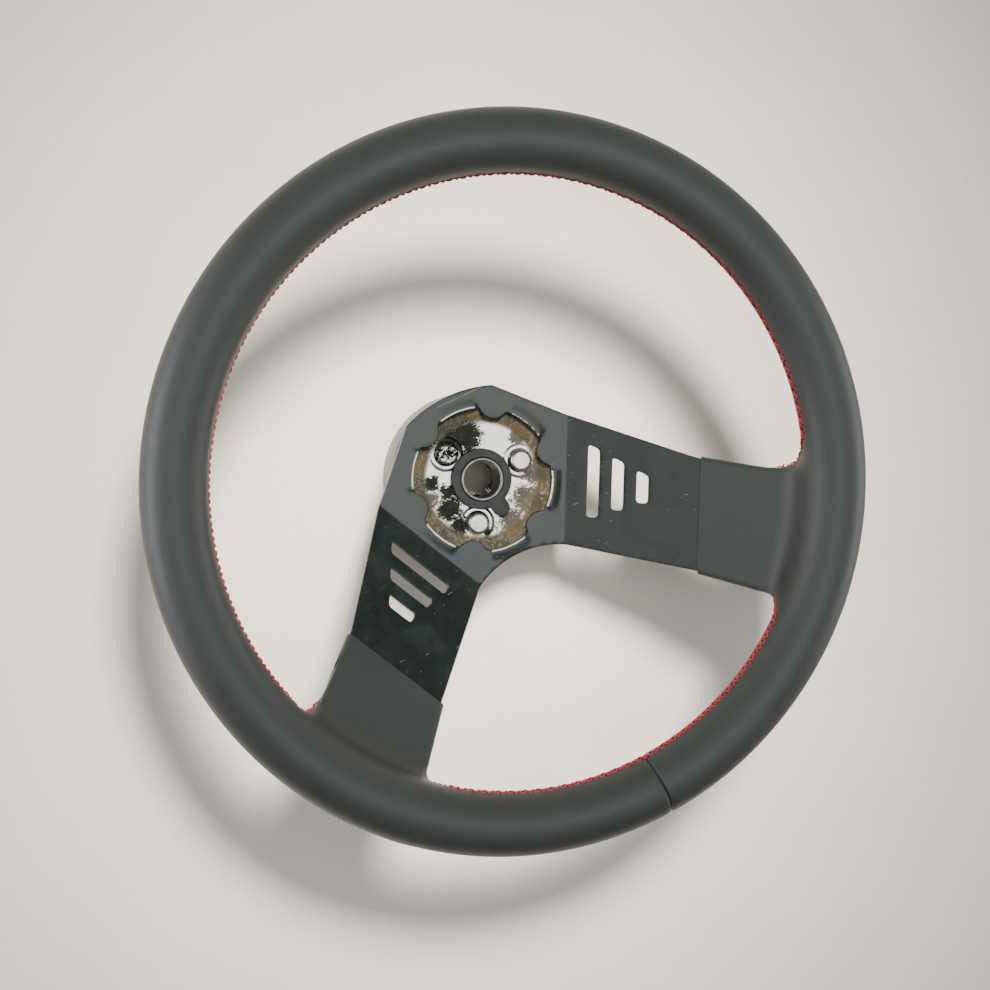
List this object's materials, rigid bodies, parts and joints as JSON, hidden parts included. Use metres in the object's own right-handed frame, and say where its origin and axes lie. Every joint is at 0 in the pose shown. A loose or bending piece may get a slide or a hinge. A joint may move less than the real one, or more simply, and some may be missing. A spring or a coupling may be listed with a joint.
{
  "type": "quick release steering wheel",
  "caption": "Deep-dished leather-covered steering wheel on a slotted two-spoke steel plate, with a rear collar that slides to free it from its keyed shaft.",
  "frame": {"origin": "centre of the boss's flat rear face, on which the wheel stands, on the steering axis", "axes": "+Z along the steering axis towards the driver, -Y towards six o'clock, where the leather's cross seam is, +X to the driver's right"},
  "size_m": [0.35, 0.35, 0.1311],
  "materials": {
    "leather": "smooth black leather with a soft sheen",
    "foam": "moulded polyurethane foam",
    "core": "plain tube",
    "plate_black": "semi-gloss black, worn bright at the lips",
    "dish_chrome": "plated, flaked in patches",
    "rivet_steel": "plated",
    "washer_grey": "dull dark grey",
    "socket_steel": "machined bright",
    "boss_alloy": "turned satin",
    "collar_alloy": "smooth grey-brown anodised",
    "lock_steel": "ground",
    "pin_steel": "ground",
    "ball_steel": "polished",
    "spring_steel": "drawn wire",
    "black_steel": "phosphated black",
    "seal_rubber": "matt"
  },
  "bodies": {
    "wheel": {"leather_cover": "leather", "foam_grip": "foam", "rim_core": "core", "spider_plate": "plate_black", "hub_dish": "dish_chrome", "rivet_1": "rivet_steel", "rivet_2": "rivet_steel", "rivet_3": "rivet_steel", "key_washer": "washer_grey", "shaft_socket": "socket_steel", "hub_boss": "boss_alloy", "grip_ring": "seal_rubber", "spring_seat": "black_steel", "snap_ring": "black_steel", "collar_spring": "spring_steel"},
    "collar": {"release_collar": "collar_alloy", "lock_ring": "lock_steel", "drive_pin_1": "pin_steel", "drive_pin_2": "pin_steel", "drive_pin_3": "pin_steel"},
    "ball_1": {"lock_ball_1": "ball_steel"},
    "ball_2": {"lock_ball_2": "ball_steel"},
    "ball_3": {"lock_ball_3": "ball_steel"},
    "ball_4": {"lock_ball_4": "ball_steel"},
    "ball_5": {"lock_ball_5": "ball_steel"},
    "ball_6": {"lock_ball_6": "ball_steel"}
  },
  "joints": [
    {"name": "collar_slide", "type": "slide", "parent": "wheel", "child": "collar", "axis": [0, 0, 1], "range_m": [0, 0.006], "stiffness_N_per_m": 900, "springref_m": -0.008, "deforming": ["collar_spring"]},
    {"name": "ball_1_slide", "type": "slide", "parent": "wheel", "child": "ball_1", "axis": [0.6494, -0.7604, 0], "range_m": [0, 0.0015]},
    {"name": "ball_2_slide", "type": "slide", "parent": "wheel", "child": "ball_2", "axis": [0.9833, 0.1822, 0], "range_m": [0, 0.0015]},
    {"name": "ball_3_slide", "type": "slide", "parent": "wheel", "child": "ball_3", "axis": [0.3338, 0.9426, 0], "range_m": [0, 0.0015]},
    {"name": "ball_4_slide", "type": "slide", "parent": "wheel", "child": "ball_4", "axis": [-0.6494, 0.7604, 0], "range_m": [0, 0.0015]},
    {"name": "ball_5_slide", "type": "slide", "parent": "wheel", "child": "ball_5", "axis": [-0.9833, -0.1822, 0], "range_m": [0, 0.0015]},
    {"name": "ball_6_slide", "type": "slide", "parent": "wheel", "child": "ball_6", "axis": [-0.3338, -0.9426, 0], "range_m": [0, 0.0015]}
  ],
  "couplings": [
    {"joint": "ball_1_slide", "follows": "collar_slide", "ratio": 0.25},
    {"joint": "ball_2_slide", "follows": "collar_slide", "ratio": 0.25},
    {"joint": "ball_3_slide", "follows": "collar_slide", "ratio": 0.25},
    {"joint": "ball_4_slide", "follows": "collar_slide", "ratio": 0.25},
    {"joint": "ball_5_slide", "follows": "collar_slide", "ratio": 0.25},
    {"joint": "ball_6_slide", "follows": "collar_slide", "ratio": 0.25}
  ]
}
